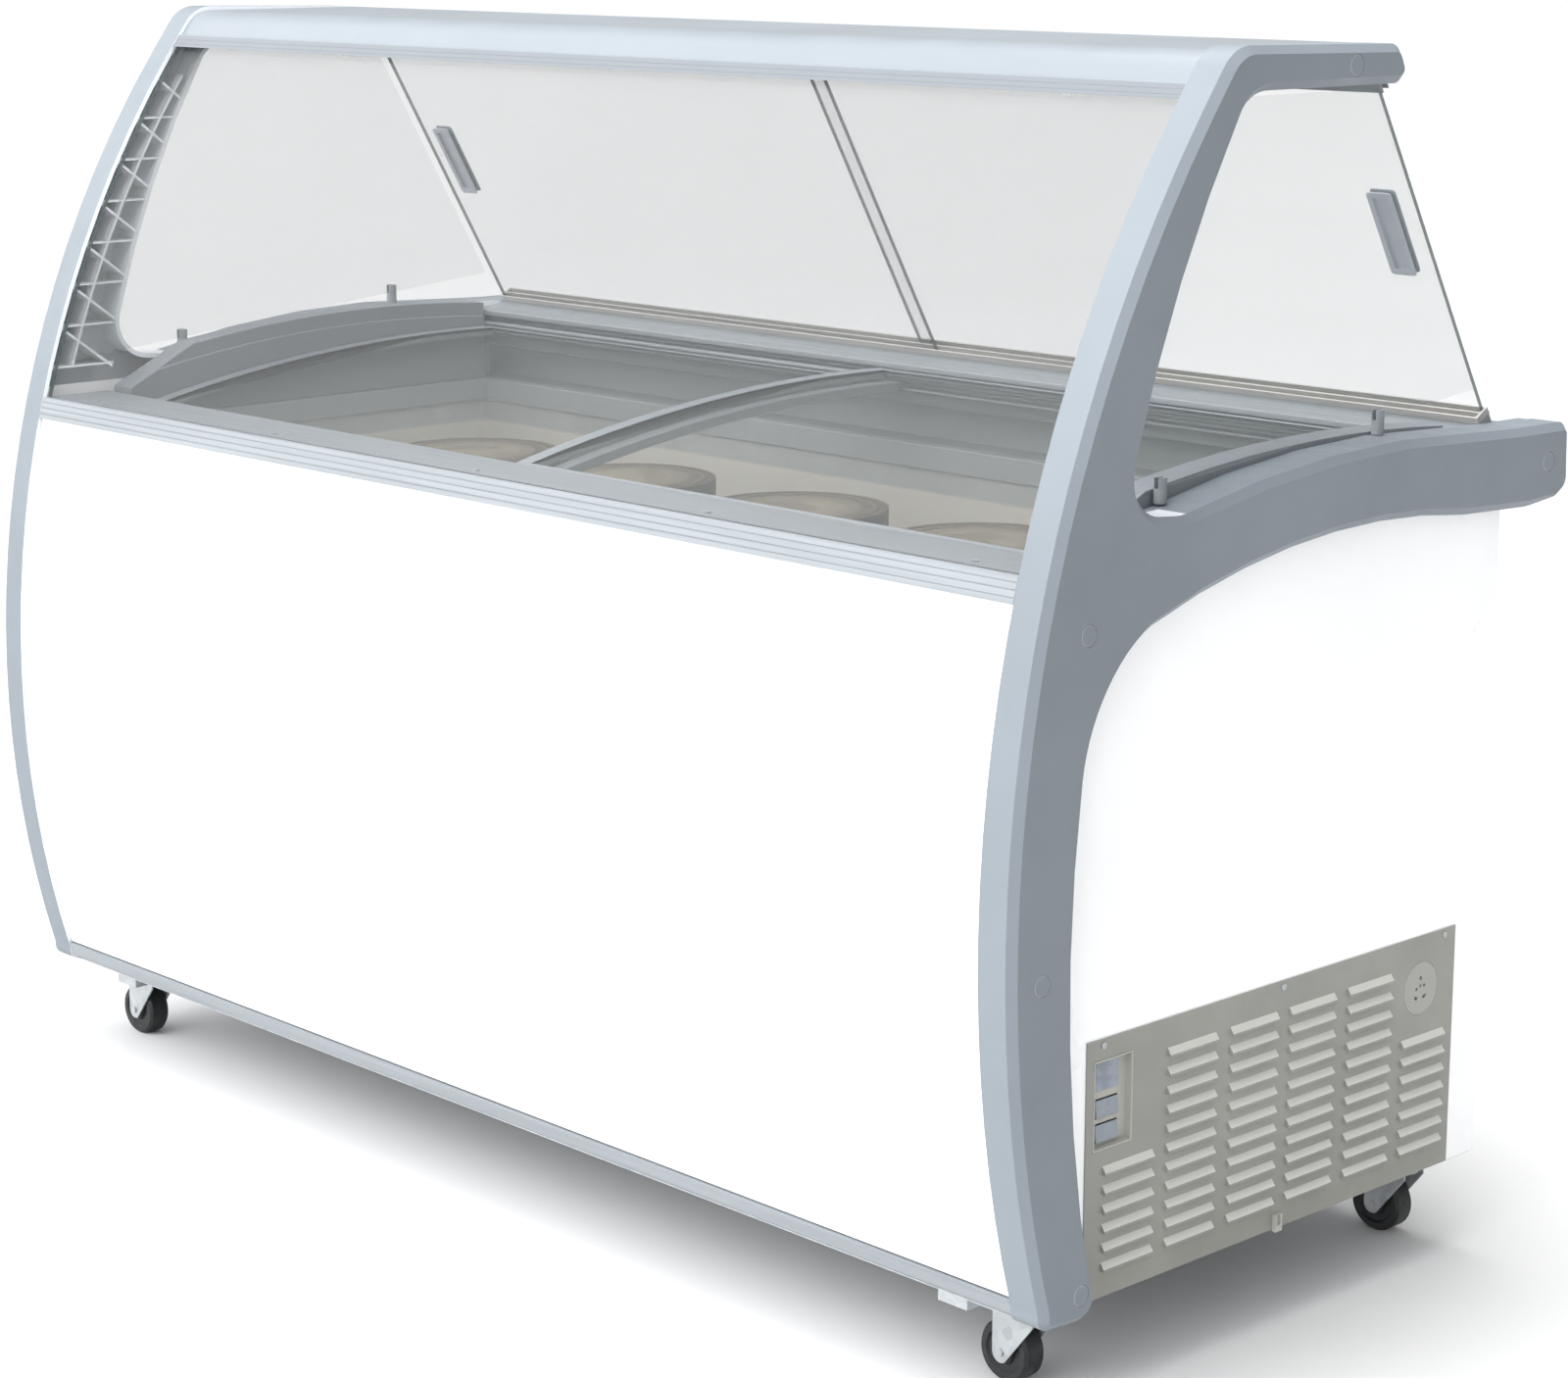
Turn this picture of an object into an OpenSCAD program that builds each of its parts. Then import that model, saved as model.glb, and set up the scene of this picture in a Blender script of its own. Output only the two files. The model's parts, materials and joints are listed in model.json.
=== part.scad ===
// Curved-glass ice cream dipping cabinet: a chest freezer body on four casters, two moulded side
// frames, a bowed front glass under a canopy, sliding inner lids and sliding rear doors.
// X runs along the cabinet, -Y is the customer's side, +Z is up, and the wheels rest on Z = 0.

/* [Overall] */
// Length between the inner faces of the two side frames
bay_len = 1640; // [1500:10:1800]
// Thickness of one side frame along the cabinet
frame_t = 43; // [38:1:50]
// Bevel around the outer face of a side frame
frame_bevel = 8; // [6:1:9]
// Wall thickness of the hollow side frame moulding
frame_wall = 5; // [4:0.5:5]
// Radius of the bowed front, measured on the front face of the side frames
front_r = 1280; // [1279:0.5:1281]
// How far the white front panel lies behind the side frames' front faces
panel_recess = 4; // [3:0.5:5]

/* [Tank and lids] */
// Length of the chilled tank inside its walls
tank_len = 1536; // [1440:4:1536]
// Height of the tank floor
tank_floor_z = 190; // [180:5:220]
// Height of the step over the machine compartment
tank_step_z = 455; // [430:5:470]
// Radius of the upper sliding lid's outer face, seen from the side
lid_r = 2257; // [2256:0.5:2258]
// Thickness of a lid's edge profile
lid_t = 6; // [5:0.5:6]
// Height between the two lids' tracks
lid_pitch = 13; // [13:0.5:14]
// Overlap of the two lids at the middle of the cabinet
lid_overlap = 44; // [36:2:60]

/* [Rear doors] */
// Lean of the rear doors from upright, in degrees
door_lean = 30; // [29:0.5:31]
// Thickness of a door pane
door_t = 5; // [4:0.5:5]
// Distance between the two door panes' front faces
door_pitch = 9.5; // [9.5:0.5:11]
// Length of a door pane up its slope
door_h = 404; // [396:2:406]

/* [Casters] */
// Wheel diameter
wheel_d = 64; // [58:2:66]
// Wheel width
wheel_w = 29; // [24:1:30]
// How far the wheel's axle trails the swivel pin
caster_trail = 22; // [18:1:24]
// Distance of the swivel pins from the cabinet's middle along X
caster_x = 764; // [730:2:768]
// Distance of the swivel pins from the cabinet's middle along Y
caster_y = 285; // [270:5:300]
// How much farther back the rear pins stand than the front ones stand forward
caster_shift = 27; // [0:1:28]

/* [Tubs] */
// Diameter of a tub's lid
tub_lid_d = 210; // [190:2:220]
// Distance between the middles of neighbouring tubs
tub_pitch = 286; // [240:2:290]
// Height of the tub lids' tops
tub_top_z = 770; // [740:5:775]

/* [Grille] */
// Length of one louvre
louvre_len = 73; // [60:1:75]
// Height between neighbouring louvres
louvre_pitch = 19.7; // [18:0.1:20]

/* [Hidden] */

big_fn = 720;
round_fn = 48;
gap = 0.5;

half_bay = bay_len / 2;
half_len = half_bay + frame_t;
front_c = [front_r - 425, 484];
frame_bottom_z = 105;
frame_top_z = 1300;
casing_x = half_bay + 16;
casing_t = 2;
reveal = 1.2;
rear_y = 343;
base_z = 105;
casing_top_z = 842;
rail_top_z = 831;
rail_bottom_z = 806;
trim_top_z = 130;

half_tank = tank_len / 2;
tank_front_y = -283;
tank_back_y = 276;
tank_wall = 2;
tank_top_z = 798;
tank_step_x = 470;

lid_c = [220, 828 - 2200];
lid_reach = 294;
track_mouth = 284;
lid_low_r = lid_r - lid_pitch;
lid_play = 0.6;
rim_c = [114, -1073];
rim_r = 1982;
rim_in_x = half_tank + 2;
rim_out_x = half_tank + 37;
counter_z = 893;
counter_back_y = 412;

door_foot = [343, 900];
door_reach = half_bay - 17;
door_lap = 17;
handle_z = 224;
handle_h = 100;
handle_w = 32;

runner_z = 90;
wheel_r = wheel_d / 2;

gland_spot = [700, rear_y, 165];
grille_x = casing_x + 0.2;
grille_y = [-290, 294];
grille_z = [107, 371];
opening_y = [-282, 286];
opening_z = [116, 360];

runner_x = 724;
CASTERS = [
    [-caster_x, -caster_y, -1],
    [caster_x, -caster_y, -1],
    [-caster_x, caster_y + caster_shift, -1],
    [caster_x, caster_y + caster_shift, -1]
];
TUB_X = [for (i = [0:3]) (i - 1.5) * tub_pitch];
tub_y = -12;

// Colours
c_white = [0.96, 0.96, 0.97];
c_frame = [0.80, 0.84, 0.87];
c_rail = [0.83, 0.87, 0.90];
c_dark = [0.46, 0.47, 0.47];
c_grille = [0.57, 0.57, 0.54];
c_glass = [0.80, 0.88, 0.88, 0.35];
c_tub = [0.52, 0.47, 0.40];
c_steel = [0.72, 0.73, 0.75];
c_black = [0.03, 0.03, 0.04];
c_liner = [0.83, 0.82, 0.79];
c_foam = [0.90, 0.84, 0.60];
c_copper = [0.72, 0.45, 0.30];

// ---------- Outline helpers ----------

// The point a share s along an arc of length len that starts at p with heading h and turns by t
function arc_point(p, h, len, t, s) =
    abs(t) < 0.01 ? p + len * s * [cos(h), sin(h)]
    : let (r = len * 180 / (PI * t))
      p + r * [sin(h + t * s) - sin(h), cos(h) - cos(h + t * s)];

// A run of tangent arcs, each [length, turn], from p with heading h, one point every few degrees
function trace(p, h, legs, i = 0) =
    i == len(legs) ? []
    : let (l = legs[i][0], t = legs[i][1], n = max(1, ceil(abs(t) / 4)))
      concat(
          [for (k = [1:n]) arc_point(p, h, l, t, k / n)],
          trace(arc_point(p, h, l, t, 1), h + t, legs, i + 1));

function unit(v) = v / norm(v);

// Outward direction at corner i of a clockwise outline, scaled so that edges move by one
function outward(p, i) =
    let (n = len(p),
         u = unit(p[i] - p[(i + n - 1) % n]),
         w = unit(p[(i + 1) % n] - p[i]),
         m = unit([-u[1] - w[1], u[0] + w[0]]))
    m / max(0.5, m * [-u[1], u[0]]);

function grown(p, d) = [for (i = [0:len(p) - 1]) p[i] + d * outward(p, i)];

// Height of the lids' surfaces of radius r at depth y
function lid_z(r, y) = lid_c[1] + sqrt(r * r - (y - lid_c[0]) * (y - lid_c[0]));

// Y of the bowed front of radius r at height z
function front_y(r, z) = front_c[0] - sqrt(r * r - (z - front_c[1]) * (z - front_c[1]));

// A side-view outline, drawn as [y, z], stretched from x0 to x1
module along_x(x0, x1) {
    translate([x0, 0, 0])
        rotate([90, 0, 90])
            linear_extrude(x1 - x0)
                children();
}

module box(lo, hi) {
    translate(lo)
        cube(hi - lo);
}

// The band of the bowed front between two radii and two heights
module bow_band(r_in, r_out, z0, z1) {
    intersection() {
        difference() {
            translate(front_c)
                circle(r_out, $fn = big_fn);
            translate(front_c)
                circle(r_in, $fn = big_fn);
        }
        translate([-450, z0])
            square([430, z1 - z0]);
    }
}

// The band between two lid radii from depth y0 to y1
module lid_band(r_in, r_out, y0, y1) {
    intersection() {
        difference() {
            translate(lid_c)
                circle(r_out, $fn = big_fn);
            translate(lid_c)
                circle(r_in, $fn = big_fn);
        }
        translate([y0, 700])
            square([y1 - y0, 300]);
    }
}

// Places children in the leaning plane of the rear doors: X along, Y through, Z up the slope
module door_plane() {
    translate([0, door_foot[0], door_foot[1]])
        rotate([door_lean, 0, 0])
            children();
}

module slot_2d(length, width) {
    hull_x = (length - width) / 2;
    union() {
        square([length - width, width], center = true);
        for (s = [-1, 1])
            translate([s * hull_x, 0])
                circle(width / 2, $fn = 32);
    }
}

// ---------- Side frames ----------

// Arc that rounds the corner b between a and c to radius r, as a list of points
function rounded_corner(a, b, c, r) =
    let (u = unit(a - b), w = unit(c - b),
         half = acos(u * w) / 2,
         foot = b + u * r / tan(half),
         mid = b + unit(u + w) * r / sin(half),
         turn = (u[0] * w[1] - u[1] * w[0] < 0 ? 1 : -1) * (180 - 2 * half),
         n = max(1, ceil(abs(turn) / 9)),
         start = atan2(foot[1] - mid[1], foot[0] - mid[0]))
    [for (k = [0:n]) mid + r * [cos(start + turn * k / n), sin(start + turn * k / n)]];

// Outline through corners given as [y, z] or as [y, z, radius]
function rounded(p) =
    let (n = len(p))
    [for (i = [0:n - 1])
        let (b = [p[i][0], p[i][1]],
             a = [p[(i + n - 1) % n][0], p[(i + n - 1) % n][1]],
             c = [p[(i + 1) % n][0], p[(i + 1) % n][1]])
        for (q = len(p[i]) == 3 ? rounded_corner(a, b, c, p[i][2]) : [b]) q];

// Outline of a side frame's outer face, clockwise: bowed front, nose over the canopy, top, raked
// rear end, window, arm beside the rear counter, and the strut that runs back down to the foot
face_outline = rounded(concat(
    [for (z = [126:46.4:1240]) [front_y(front_r - frame_bevel, z), z]],
    [[-129, 1292.5, 38], [108, 1288, 9], [119, 1266, 6], [-85, 1266]],
    trace([-85, 1266], 180, [[55, 58.5], [340, 15.5]]),
    [[-284, 869.5, 50], [-192, 861.5, 60]],
    trace([-180, 864], 12, [[437, -16], [159, 4.5]]),
    [[418, 889.5, 4], [420.5, 828, 14], [362, 822, 60]],
    trace([321, 814], 168, [[563, 31.4]]),
    trace([-234, 779], 207, [[178, 55.5], [514, 20.8]]),
    [[-302.4, 110.3, 12], [-365, 114, 6]]
));
rim_outline = grown(face_outline, frame_bevel);
pocket_outline = grown(face_outline, frame_bevel - frame_wall - 0.5);

module frame_solid() {
    n = len(face_outline);
    levels = [half_bay, half_len - frame_bevel, half_len];
    rings = [rim_outline, rim_outline, face_outline];
    polyhedron(
        points = [for (k = [0:2]) for (p = rings[k]) [levels[k], p[0], p[1]]],
        faces = concat(
            [[for (i = [n - 1:-1:0]) i]],
            [for (k = [0:1]) for (i = [0:n - 1])
                [k * n + i, (k + 1) * n + (i + 1) % n, (k + 1) * n + i]],
            [for (k = [0:1]) for (i = [0:n - 1])
                [k * n + i, k * n + (i + 1) % n, (k + 1) * n + (i + 1) % n]],
            [[for (i = [0:n - 1]) 2 * n + i]]
        )
    );
}

// One stiffening rib inside the upper strut, between two [y, z] ends
module strut_rib(a, b) {
    x = [half_bay + 2, half_len - frame_wall + 0.1];
    hull()
        for (p = [a, b])
            box([x[0], p[0] - 1.1, p[1] - 1.1], [x[1], p[0] + 1.1, p[1] + 1.1]);
}

// A point in the strut at height z, on the arc that lies d inside its front face
function strut_point(z, d) = [front_y(front_r - d, z), z];

module strut_ribs() {
    step = 50;
    intersection() {
        along_x(half_bay + 1, half_len - 1)
            polygon(grown(face_outline, frame_bevel - frame_wall / 2));
        union()
            for (z = [865:step:1165]) {
                strut_rib(strut_point(z, 3), strut_point(z, 90));
                strut_rib(strut_point(z, 34), strut_point(z + step, 34));
                strut_rib(strut_point(z - 4, 90), strut_point(z + step, 3));
            }
    }
}

CAP_SPOTS = [[41, 1277.5], [388, 859], [-327, 775], [-383, 453], [-321, 132]];
cap_r = 10.3;

module right_frame_shape() {
    difference() {
        frame_solid();
        along_x(half_bay - 1, half_len - frame_wall)
            polygon(pocket_outline);
        // Room for the side of the cabinet body, which the frame stands around
        along_x(half_bay - 1, casing_x + gap)
            intersection() {
                translate(front_c)
                    circle(front_r - frame_wall - 1, $fn = 360);
                translate([-430, 100])
                    square([rear_y + 432, casing_top_z + 10 - 100]);
            }
        for (p = CAP_SPOTS)
            translate([half_len - 1.5, p[0], p[1]])
                rotate([0, 90, 0])
                    cylinder(h = 2, r = cap_r + 0.3, $fn = round_fn);
    }
    // Ledge of the arm that reaches in over the side of the tank
    along_x(half_tank + 39, half_bay + 2)
        intersection() {
            difference() {
                polygon(grown(face_outline, frame_bevel - 0.4));
                polygon(grown(face_outline, 1));
            }
            translate([-196, 860])
                square([606, 60]);
        }
    strut_ribs();
}

module left_side_frame() {
    color(c_frame)
        mirror([1, 0, 0])
            right_frame_shape();
}

module right_side_frame() {
    color(c_frame)
        right_frame_shape();
}

module frame_caps() {
    color(c_frame)
        for (s = [-1, 1])
            for (p = CAP_SPOTS)
                translate([s * (half_len - 0.7), p[0], p[1]])
                    rotate([0, 90, 0])
                        cylinder(h = 1.4, r = cap_r, center = true, $fn = round_fn);
}

// ---------- Cabinet body ----------

module outer_casing() {
    color(c_white)
        difference() {
            intersection() {
                box([-casing_x, -430, base_z + 2], [casing_x, rear_y, casing_top_z]);
                along_x(-casing_x, casing_x)
                    union() {
                        translate(front_c)
                            circle(front_r - 6, $fn = big_fn);
                        translate([0, base_z])
                            square([rear_y, casing_top_z - base_z]);
                    }
            }
            box([-casing_x + casing_t, -440, base_z],
                [casing_x - casing_t, rear_y - casing_t, casing_top_z + 1]);
            box([casing_x - casing_t - 1, opening_y[0], opening_z[0]],
                [casing_x + 1, opening_y[1], opening_z[1]]);
            translate(gland_spot + [0, 1, 0])
                rotate([90, 0, 0])
                    cylinder(h = 4, r = 9, $fn = round_fn);
            for (p = GRILLE_SCREWS)
                translate([casing_x - casing_t - 1, p[0], p[1]])
                    rotate([0, 90, 0])
                        cylinder(h = casing_t + 2, r = 2, $fn = 24);
        }
}

module front_panel() {
    color(c_white)
        along_x(-half_bay + reveal, half_bay - reveal)
            bow_band(front_r - panel_recess - 2, front_r - panel_recess,
                     trim_top_z + reveal, rail_bottom_z - 0.3);
}

module base_pan() {
    front = front_y(front_r - 8, base_z);
    color(c_steel)
        difference() {
            box([-casing_x + 2.5, front, base_z], [casing_x - 2.5, rear_y - 2.5, base_z + 1.8]);
            for (y = [-180:45:180])
                translate([640, y, base_z - 1])
                    linear_extrude(4)
                        slot_2d(130, 10);
        }
}

// Channels under the floor, each with a pad beside it that every caster bolts to
module base_runners() {
    top_z = base_z - 0.1;
    color(c_steel)
        for (s = [-1, 1])
            mirror([s < 0 ? 1 : 0, 0, 0])
                difference() {
                    union() {
                        box([runner_x - 20, -353, runner_z], [runner_x + 20, 330, top_z]);
                        for (y = [-caster_y, caster_y + caster_shift])
                            box([runner_x, y - 26, runner_z], [caster_x + 30, y + 26, top_z]);
                    }
                    box([runner_x - 17.5, -350.5, runner_z + 2.5], [runner_x + 17.5, 327.5, top_z + 1]);
                }
}

module bottom_trim() {
    color(c_frame)
        along_x(-half_bay + 0.3, half_bay - 0.3)
            union() {
                bow_band(front_r - 14, front_r, 113, trim_top_z);
                translate([front_y(front_r - 10, 113), 107])
                    square([8, 8]);
            }
}

module tank_outline(out) {
    y0 = tank_front_y - out;
    y1 = tank_back_y + out;
    rotate([90, 0, 0])
        translate([0, 0, -y1])
            linear_extrude(y1 - y0)
                polygon([
                    [-half_tank - out, tank_floor_z - out],
                    [tank_step_x + out, tank_floor_z - out],
                    [tank_step_x + out, tank_step_z - out],
                    [half_tank + out, tank_step_z - out],
                    [half_tank + out, tank_top_z],
                    [-half_tank - out, tank_top_z]
                ]);
}

module inner_tank() {
    color(c_liner)
        union() {
            difference() {
                tank_outline(tank_wall);
                translate([0, 0, 0.01])
                    tank_outline(0);
                translate([-600, 0, tank_floor_z - 5])
                    cylinder(h = 10, r = 10, $fn = round_fn);
            }
            // Pressed rests that carry the tub shelf
            for (x = [-560, 740])
                for (y = [tank_front_y, tank_back_y - 10])
                    box([x - 22, y, 544], [x + 22, y + 10, 552]);
        }
}

module tank_collar() {
    lip = 3;
    color(c_liner)
        difference() {
            box([-half_tank - 14, tank_front_y - 14, tank_top_z + 0.2],
                [half_tank + 14, tank_back_y + 14, tank_top_z + lip]);
            box([-half_tank + 1, tank_front_y + 1, tank_top_z - 1],
                [half_tank - 1, tank_back_y - 1, tank_top_z + 9]);
        }
    color(c_rail)
        difference() {
            box([-half_tank + 0.2, tank_front_y + 0.2, 772],
                [half_tank - 0.2, tank_back_y - 0.2, tank_top_z + lip]);
            box([-half_tank + lip, tank_front_y + lip, 770],
                [half_tank - lip, tank_back_y - lip, tank_top_z + 9]);
        }
}

module foam_insulation() {
    color(c_foam)
        difference() {
            intersection() {
                box([-casing_x + 2.5, -430, base_z + 2.5], [casing_x - 2.5, rear_y - 2.5, tank_top_z]);
                along_x(-casing_x, casing_x)
                    translate(front_c)
                        circle(front_r - 6.5, $fn = big_fn);
            }
            // Clearance behind the bottom trim
            box([-casing_x, -430, base_z], [casing_x, -345, trim_top_z + 1]);
            tank_outline(tank_wall + 0.3);
            // Machine compartment under the tank's step
            box([tank_step_x + 40, -300, base_z], [casing_x, 300, tank_step_z - 42]);
            translate([-600, 0, base_z])
                cylinder(h = 100, r = 12, $fn = round_fn);
            translate(gland_spot + [0, 10, 0])
                rotate([90, 0, 0])
                    cylinder(h = 60, r = 14, $fn = round_fn);
        }
}

// Evaporator tube, bonded round the outside of the tank in level loops
module evaporator_coil() {
    tube = 8;
    out = tank_wall + 0.5;
    color(c_copper)
        for (z = [500:45:725])
            translate([0, 0, z])
                difference() {
                    box([-half_tank - out - tube, tank_front_y - out - tube, 0],
                        [half_tank + out + tube, tank_back_y + out + tube, tube]);
                    box([-half_tank - out, tank_front_y - out, -1],
                        [half_tank + out, tank_back_y + out, tube + 1]);
                }
}

module drain_plug() {
    color(c_black)
        translate([-600, 0, 0]) {
            translate([0, 0, tank_floor_z])
                cylinder(h = 5, r = 16, $fn = round_fn);
            translate([0, 0, tank_floor_z - 20])
                cylinder(h = 21, r = 9.6, $fn = round_fn);
        }
}

// ---------- Rails, rims and counter ----------

// The two stacked tracks that hold one end of both lids, as the solid left between their slots
module lid_tracks(y_mouth, y_web, z_bottom, z_top, slots) {
    difference() {
        translate([min(y_mouth, y_web), z_bottom])
            square([abs(y_web - y_mouth), z_top - z_bottom]);
        for (s = slots)
            translate([y_mouth < y_web ? y_mouth - 1 : y_web + 4, s[0]])
                square([lid_reach - track_mouth + 6, s[1] - s[0]]);
    }
}

// Slot heights [bottom, top] of one lid whose outer face has radius r, between two depths
function slot_z(r, y_deep, y_mouth) = [
    min(lid_z(r - lid_t, y_deep), lid_z(r - lid_t, y_mouth)) - lid_play,
    max(lid_z(r, y_deep), lid_z(r, y_mouth)) + lid_play
];

module front_rail() {
    x0 = -half_bay + 0.3;
    x1 = half_bay - 0.3;
    y0 = front_y(front_r - 2, rail_top_z);
    color(c_rail)
        difference() {
            union() {
                along_x(x0, x1)
                    bow_band(front_r - 5, front_r, rail_bottom_z, rail_top_z);
                along_x(x0, x1)
                    translate([y0, rail_top_z - 2.3])
                        square([-298 - y0, 2.3]);
                along_x(x0, x1)
                    lid_tracks(-track_mouth, -300, 801.5, rail_top_z,
                               [for (r = [lid_r, lid_low_r]) slot_z(r, -lid_reach, -track_mouth)]);
            }
            along_x(x0 - 1, x1 + 1) {
                // Groove that holds the front glass
                translate([front_y(front_r - 7, rail_top_z) - 0.5, rail_top_z - 1.8])
                    square([6.4, 5]);
                // Fine lengthwise grooves on the front face
                for (z = [811, 818, 825])
                    translate([front_y(front_r, z) - 1, z])
                        square([1.8, 1.2]);
            }
        }
}

module side_rims() {
    color(c_dark)
        for (s = [-1, 1])
            mirror([s < 0 ? 1 : 0, 0, 0]) {
                along_x(rim_in_x, rim_out_x)
                    rim_section(rim_r, -283.5, 280.5);
                along_x(rim_in_x - 3, rim_in_x + 0.01)
                    rim_section(rim_r - 18, -283.5, 279);
            }
}

module rim_section(r, y0, y1) {
    difference() {
        intersection() {
            translate(rim_c)
                circle(r, $fn = big_fn);
            translate([y0, tank_top_z + 4])
                square([y1 - y0, 160]);
        }
        // Front end falls to the top of the front rail
        polygon([[y0 - 1, rail_top_z + 7], [-185, 886.6], [-185, 900], [y0 - 1, 900]]);
    }
}

// A point in the side view from its place in the leaning plane of the rear doors
function door_point(y, z) = door_foot + [
    y * cos(door_lean) - z * sin(door_lean),
    y * sin(door_lean) + z * cos(door_lean)
];

module rear_counter() {
    nose_r = 14;
    under_z = 852;
    x1 = rim_out_x + 1;
    color(c_rail)
        union() {
            along_x(-x1, x1)
                lid_tracks(track_mouth - 3, 302, 860, counter_z,
                           [for (r = [lid_r, lid_low_r]) slot_z(r, lid_reach, track_mouth)]);
            along_x(-x1, x1)
                polygon(rounded([
                    [299.5, casing_top_z + 0.5], [299.5, counter_z], [334, counter_z],
                    door_point(-3, -2.2), door_point(18.5, -2.2), [368, counter_z],
                    [counter_back_y, counter_z, nose_r], [counter_back_y, under_z, nose_r],
                    [345, under_z], [345, casing_top_z + 0.5]
                ]));
        }
}

// ---------- Canopy and fixed glass ----------

canopy_half = half_bay - 0.5;

canopy_z = 1295.5;
lip_z = [1252, 1266];

module canopy_fascia() {
    color(c_frame)
        union() {
            along_x(-canopy_half, canopy_half)
                polygon(rounded([
                    [-156, 1262.5], [-131.9, canopy_z, 42], [-79, canopy_z],
                    [-79, canopy_z - 3], [-130.4, canopy_z - 3, 39], [-152.5, 1262.5]
                ]));
            // Grooved lip that holds the top edge of the front glass
            along_x(-canopy_half, canopy_half)
                difference() {
                    bow_band(front_r - 14, front_r - 1, lip_z[0], lip_z[1]);
                    bow_band(front_r - 12.6, front_r - 6.4, lip_z[0] - 1, lip_z[1] - 7);
                    for (z = [1255, 1260])
                        translate([front_y(front_r - 1, z) - 1, z])
                            square([1.8, 1.4]);
                }
        }
}

module canopy_top() {
    color(c_frame)
        along_x(-canopy_half, canopy_half)
            polygon([
                [-78.7, canopy_z], [109, canopy_z], [120.5, 1265.3],
                [117.3, 1265.3], [106.7, canopy_z - 3], [-78.7, canopy_z - 3]
            ]);
}

// Flat soffit that carries the light in front and the upper door track behind
module canopy_underside() {
    y0 = front_y(front_r - 1, 1262) + 20;
    color(c_white)
        difference() {
            along_x(-canopy_half, canopy_half)
                polygon([
                    [y0, 1265], [137, 1265], [151, 1272], [152.5, 1269], [141, 1262], [y0, 1262]
                ]);
            for (s = [-1, 1])
                translate([s * 600, 0, 1255])
                    cylinder(h = 20, r = 4, $fn = 24);
        }
}

module canopy_light() {
    color("white")
        union() {
            translate([0, -60, 1253])
                rotate([0, 90, 0])
                    cylinder(h = 1180, r = 7, center = true, $fn = round_fn);
            for (s = [-1, 1])
                box([s * 597 - 12, -70, 1243], [s * 597 + 12, -50, 1261.7]);
        }
}

module front_glass() {
    color(c_glass)
        along_x(-half_bay + 1, half_bay - 1)
            bow_band(front_r - 12, front_r - 7, rail_top_z - 1.4, 1257);
}

// Fixed side pane: it stands in the two clips, its front edge hidden behind the strut of the side
// frame and its back edge parallel to the rear doors
module side_glass() {
    rise = (CLIP_SPOTS[1][1] - CLIP_SPOTS[0][1]) / (CLIP_SPOTS[1][0] - CLIP_SPOTS[0][0]);
    function foot_z(y) = CLIP_SPOTS[0][1] + clip_seat + 0.8 + (y - CLIP_SPOTS[0][0]) * rise;
    top_z = 1250;
    color(c_glass)
        for (s = [-1, 1])
            mirror([s < 0 ? 1 : 0, 0, 0])
                along_x(811, 815)
                    intersection() {
                        translate(front_c)
                            circle(front_r - 22, $fn = big_fn);
                        polygon([
                            [-400, foot_z(-400)],
                            [318, foot_z(318)],
                            [318 - (top_z - foot_z(318)) * tan(door_lean), top_z],
                            [-400, top_z]
                        ]);
                    }
}

// Foot of each clip on the arm of the side frame, as [y, z]
CLIP_SPOTS = [[-174, 874.2], [159, 906.2]];
clip_h = 25;
clip_seat = 14.5;

// Slotted posts that grip the bottom edge of the side panes
module glass_clips() {
    color(c_rail)
        for (s = [-1, 1])
            for (p = CLIP_SPOTS)
                translate([s * 813, p[0], p[1]])
                    difference() {
                        cylinder(h = clip_h, r = 6.5, $fn = round_fn);
                        box([-2.3, -10, clip_seat], [2.3, 10, clip_h + 1]);
                    }
}

// ---------- Rear doors ----------

module track_section(wall, depth) {
    floor_t = 2;
    translate([-3, -floor_t])
        square([2 * door_pitch + 2.5, floor_t]);
    for (y = [-3, door_t + 1.2, door_pitch + door_t + 1.2])
        translate([y, 0])
            square([y == -3 ? 2 : wall, depth]);
}

module lower_door_track() {
    color(c_grille)
        door_plane()
            union() {
                translate([-rim_out_x - 1, 0, 0])
                    rotate([90, 0, 90])
                        linear_extrude(2 * (rim_out_x + 1))
                            track_section(1.8, 6);
                // End stops
                for (s = [-1, 1])
                    box([s * (door_reach + 1.6) - 1.6, -3, -1], [s * (door_reach + 1.6) + 1.6, 16, 6]);
            }
}

module upper_door_track() {
    color(c_rail)
        door_plane()
            translate([-canopy_half, 0, door_h + 8])
                rotate([90, 0, 90])
                    linear_extrude(2 * canopy_half)
                        mirror([0, 1])
                            track_section(1.8, 11);
}

module door_pane(x0, x1, level, handle_mid) {
    y0 = level * door_pitch;
    color(c_glass)
        door_plane()
            difference() {
                box([x0, y0, 1], [x1, y0 + door_t, 1 + door_h]);
                translate([handle_mid, y0 + door_t + 1, handle_z])
                    rotate([90, 90, 0])
                        linear_extrude(door_t + 2)
                            polygon(rounded_box(handle_h - 8, handle_w - 8, 3));
            }
}

function rounded_box(long, wide, r) = [
    for (c = [[1, 1, 0], [-1, 1, 90], [-1, -1, 180], [1, -1, 270]])
        for (a = [0:15:90])
            [c[0] * (long / 2 - r) + r * cos(c[2] + a), c[1] * (wide / 2 - r) + r * sin(c[2] + a)]
];

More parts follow.
